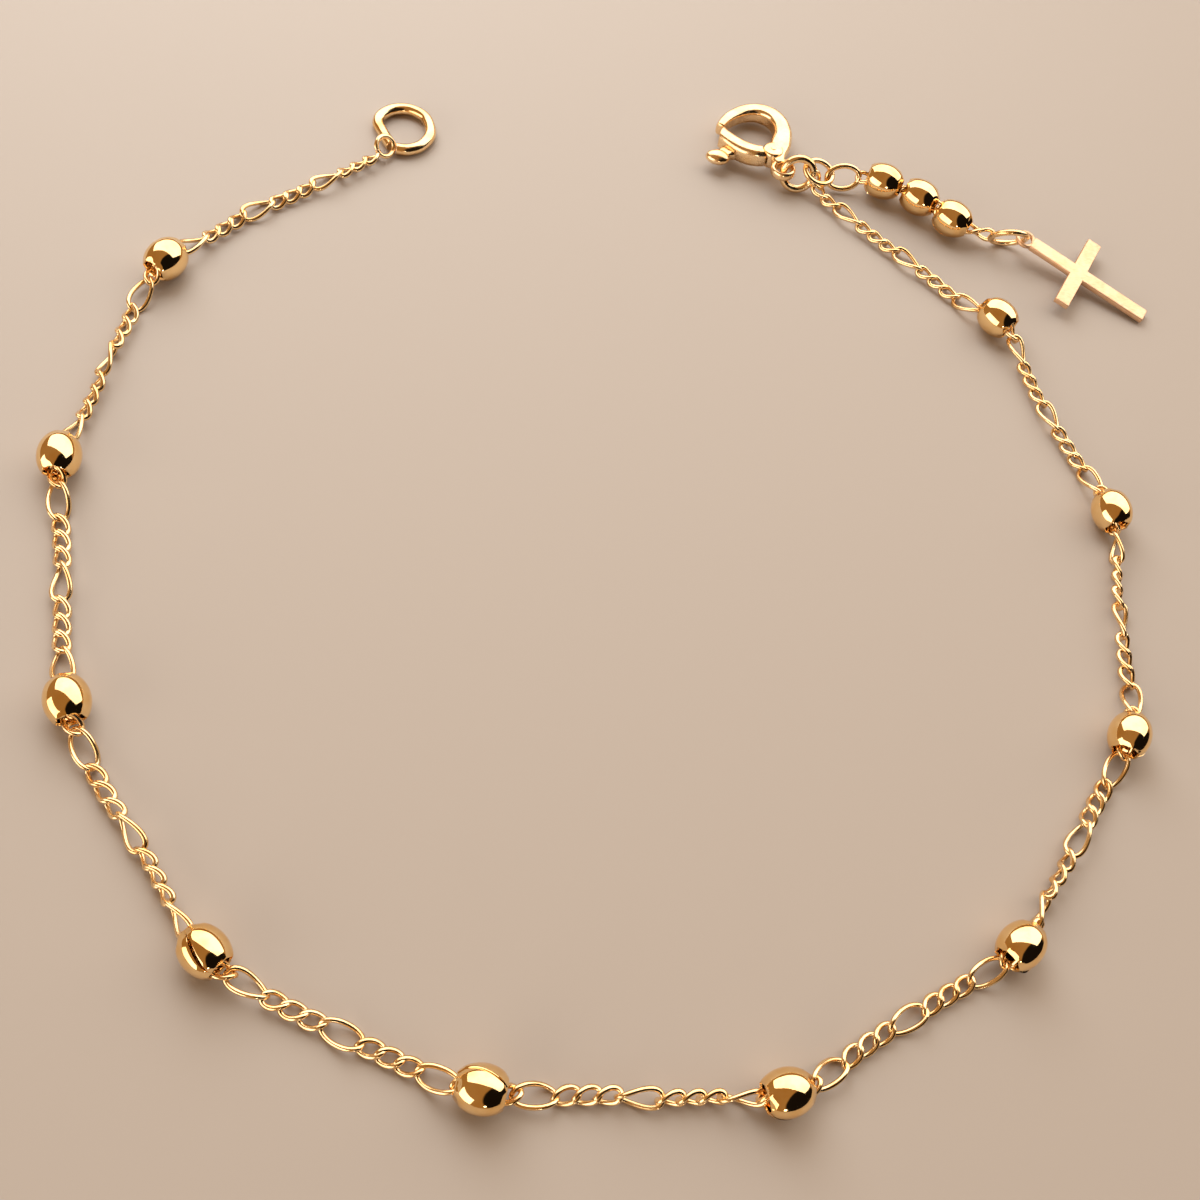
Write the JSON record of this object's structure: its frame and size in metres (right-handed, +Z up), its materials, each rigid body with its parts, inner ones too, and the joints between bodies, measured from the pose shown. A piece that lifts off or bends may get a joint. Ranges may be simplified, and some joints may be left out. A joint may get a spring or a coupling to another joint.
{
  "type": "beaded bracelet",
  "caption": "Fine figaro chain bracelet with spaced hollow balls, a lobster clasp, a round end ring and a short drop of balls that ends in a plain cross.",
  "frame": {"origin": "on the surface that the bracelet lies on, under the middle of its extent", "axes": "+Z up from the surface, +X across the opened loop from the end ring's side to the clasp's side, +Y towards the open ends"},
  "size_m": [0.0792, 0.0756, 0.0029],
  "materials": {
    "polished_gold": "highly polished yellow gold",
    "wire_gold": "polished drawn gold wire",
    "plate_gold": "softly polished stamped gold plate"
  },
  "bodies": {
    "bracelet": {"end_ring": "wire_gold", "clasp_ring": "wire_gold", "drop_link_1": "wire_gold", "drop_link_2": "wire_gold", "drop_ring": "wire_gold", "chain": "wire_gold", "bead_01": "polished_gold", "bead_02": "polished_gold", "bead_03": "polished_gold", "bead_04": "polished_gold", "bead_05": "polished_gold", "bead_06": "polished_gold", "bead_07": "polished_gold", "bead_08": "polished_gold", "bead_09": "polished_gold", "bead_10": "polished_gold", "clasp_body": "polished_gold", "drop_chain": "wire_gold", "drop_bead_1": "polished_gold", "drop_bead_2": "polished_gold", "drop_bead_3": "polished_gold", "cross": "plate_gold"},
    "lever": {"clasp_lever": "polished_gold"}
  },
  "joints": [
    {"name": "lever_hinge", "type": "hinge", "parent": "bracelet", "child": "lever", "pos_m": [0.00991, 0.03234, 0.00139], "axis": [0.0359, -0.0888, -0.9954], "range_deg": [0, 22], "stiffness_Nm_per_rad": 0.004}
  ]
}
